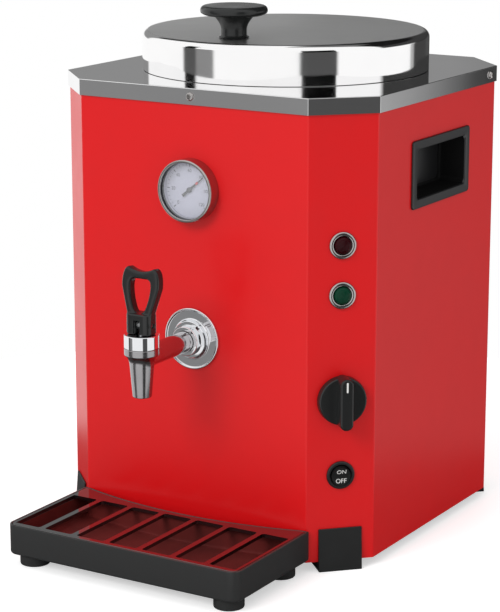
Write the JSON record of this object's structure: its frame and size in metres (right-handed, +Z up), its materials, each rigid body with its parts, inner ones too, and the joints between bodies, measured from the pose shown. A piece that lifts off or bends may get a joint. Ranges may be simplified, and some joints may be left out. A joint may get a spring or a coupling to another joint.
{
  "type": "milk dispenser",
  "caption": "Counter-top heated milk dispenser: chamfered red housing, hinged round lid, self-closing lever tap, dial thermometer, corner controls and a slotted drip tray.",
  "frame": {"origin": "centre of the bounding box at bench level", "axes": "+Z up; -Y the front, where the tap and the drip tray are; +X to the right of someone facing the front"},
  "size_m": [0.3072, 0.426, 0.4538],
  "materials": {
    "red_paint": "glossy red powder coat",
    "mirror_steel": "mirror polished stainless steel",
    "satin_steel": "spun satin stainless steel",
    "chrome": "polished",
    "zinc_steel": "plain stainless or zinc-plated steel",
    "black_plastic": "satin moulded",
    "gloss_black": "gloss moulded",
    "dial_white": "printed card, plain ticks only",
    "clear_glass": "clear",
    "red_lens": "dark red lens, unlit",
    "green_lens": "dark green lens, unlit",
    "silicone": "food silicone",
    "mineral_wool": "matted fibre",
    "ceramic": "glazed ceramic"
  },
  "bodies": {
    "root": {"housing_wrap": "red_paint", "rear_cover": "red_paint", "base_plate": "zinc_steel", "top_deck": "mirror_steel", "milk_tank": "satin_steel", "water_jacket": "zinc_steel", "insulation_sleeve": "mineral_wool", "heating_element": "zinc_steel", "terminal_block": "ceramic", "cable_gland": "black_plastic", "lid_hinge_bracket": "chrome", "lid_hinge_pin": "chrome", "gauge_case": "chrome", "gauge_dial": "dial_white", "gauge_glass": "clear_glass", "gauge_clamp": "zinc_steel", "gauge_stem": "zinc_steel", "tap_flange": "chrome", "tap_seal": "silicone", "tap_backnut": "zinc_steel", "tap_body": "chrome", "tap_bonnet": "chrome", "tap_spring": "zinc_steel", "lamp_red_bezel": "chrome", "lamp_red_lens": "red_lens", "lamp_red_nut": "zinc_steel", "lamp_green_bezel": "chrome", "lamp_green_lens": "green_lens", "lamp_green_nut": "zinc_steel", "thermostat_body": "ceramic", "thermostat_capillary": "zinc_steel", "switch_body": "black_plastic", "side_grip_left": "black_plastic", "side_grip_right": "black_plastic", "corner_foot_front_left": "black_plastic", "corner_foot_front_right": "black_plastic", "corner_foot_rear_left": "black_plastic", "corner_foot_rear_right": "black_plastic", "deck_screw_front": "chrome", "deck_screw_right": "chrome", "deck_screw_left": "chrome", "deck_screw_rear": "chrome", "cover_screw_low_left": "chrome", "cover_screw_low_right": "chrome", "cover_screw_high_left": "chrome", "cover_screw_high_right": "chrome"},
    "lid": {"lid_shell": "satin_steel", "lid_knob": "black_plastic", "lid_knob_screw": "zinc_steel", "lid_hinge_leaf": "chrome"},
    "stem": {"tap_stem": "zinc_steel", "tap_seat_cup": "silicone", "tap_pin": "chrome"},
    "lever": {"tap_lever": "black_plastic"},
    "thermostat": {"thermostat_knob": "black_plastic", "thermostat_shaft": "zinc_steel"},
    "rocker": {"switch_rocker": "black_plastic"},
    "pointer": {"gauge_pointer": "black_plastic"},
    "tray": {"drip_tray": "gloss_black"},
    "grille": {"drip_grille": "gloss_black"}
  },
  "joints": [
    {"name": "lid_hinge", "type": "hinge", "parent": "root", "child": "lid", "pos_m": [0, 0.1842, 0.4005], "axis": [-1, 0, 0], "range_deg": [0, 100]},
    {"name": "tap_stem_lift", "type": "slide", "parent": "root", "child": "stem", "axis": [0, 0, 1], "range_m": [0, 0.005], "deforming": ["tap_spring"]},
    {"name": "tap_lever_tilt", "type": "hinge", "parent": "stem", "child": "lever", "pos_m": [0, -0.1745, 0.2125], "axis": [1, 0, 0], "range_deg": [0, 40], "stiffness_Nm_per_rad": 0.8, "springref_deg": -8.59},
    {"name": "thermostat_turn", "type": "hinge", "parent": "root", "child": "thermostat", "pos_m": [0.1295, -0.0785, 0.146], "axis": [-0.7071, 0.7071, 0], "range_deg": [0, 270]},
    {"name": "switch_rock", "type": "hinge", "parent": "root", "child": "rocker", "pos_m": [0.1295, -0.0785, 0.082], "axis": [-0.7071, -0.7071, 0], "range_deg": [0, 18]},
    {"name": "pointer_turn", "type": "hinge", "parent": "root", "child": "pointer", "pos_m": [0, -0.099, 0.31], "axis": [0, 1, 0], "range_deg": [-185, 85], "stiffness_Nm_per_rad": 0.002},
    {"name": "tray_slide", "type": "slide", "parent": "root", "child": "tray", "axis": [0, -1, 0], "range_m": [0, 0.12]},
    {"name": "grille_lift", "type": "slide", "parent": "tray", "child": "grille", "axis": [0, 0, 1], "range_m": [0, 0.05]}
  ],
  "couplings": [
    {"joint": "tap_lever_tilt", "follows": "tap_stem_lift", "rad_per_m": 133.33}
  ]
}
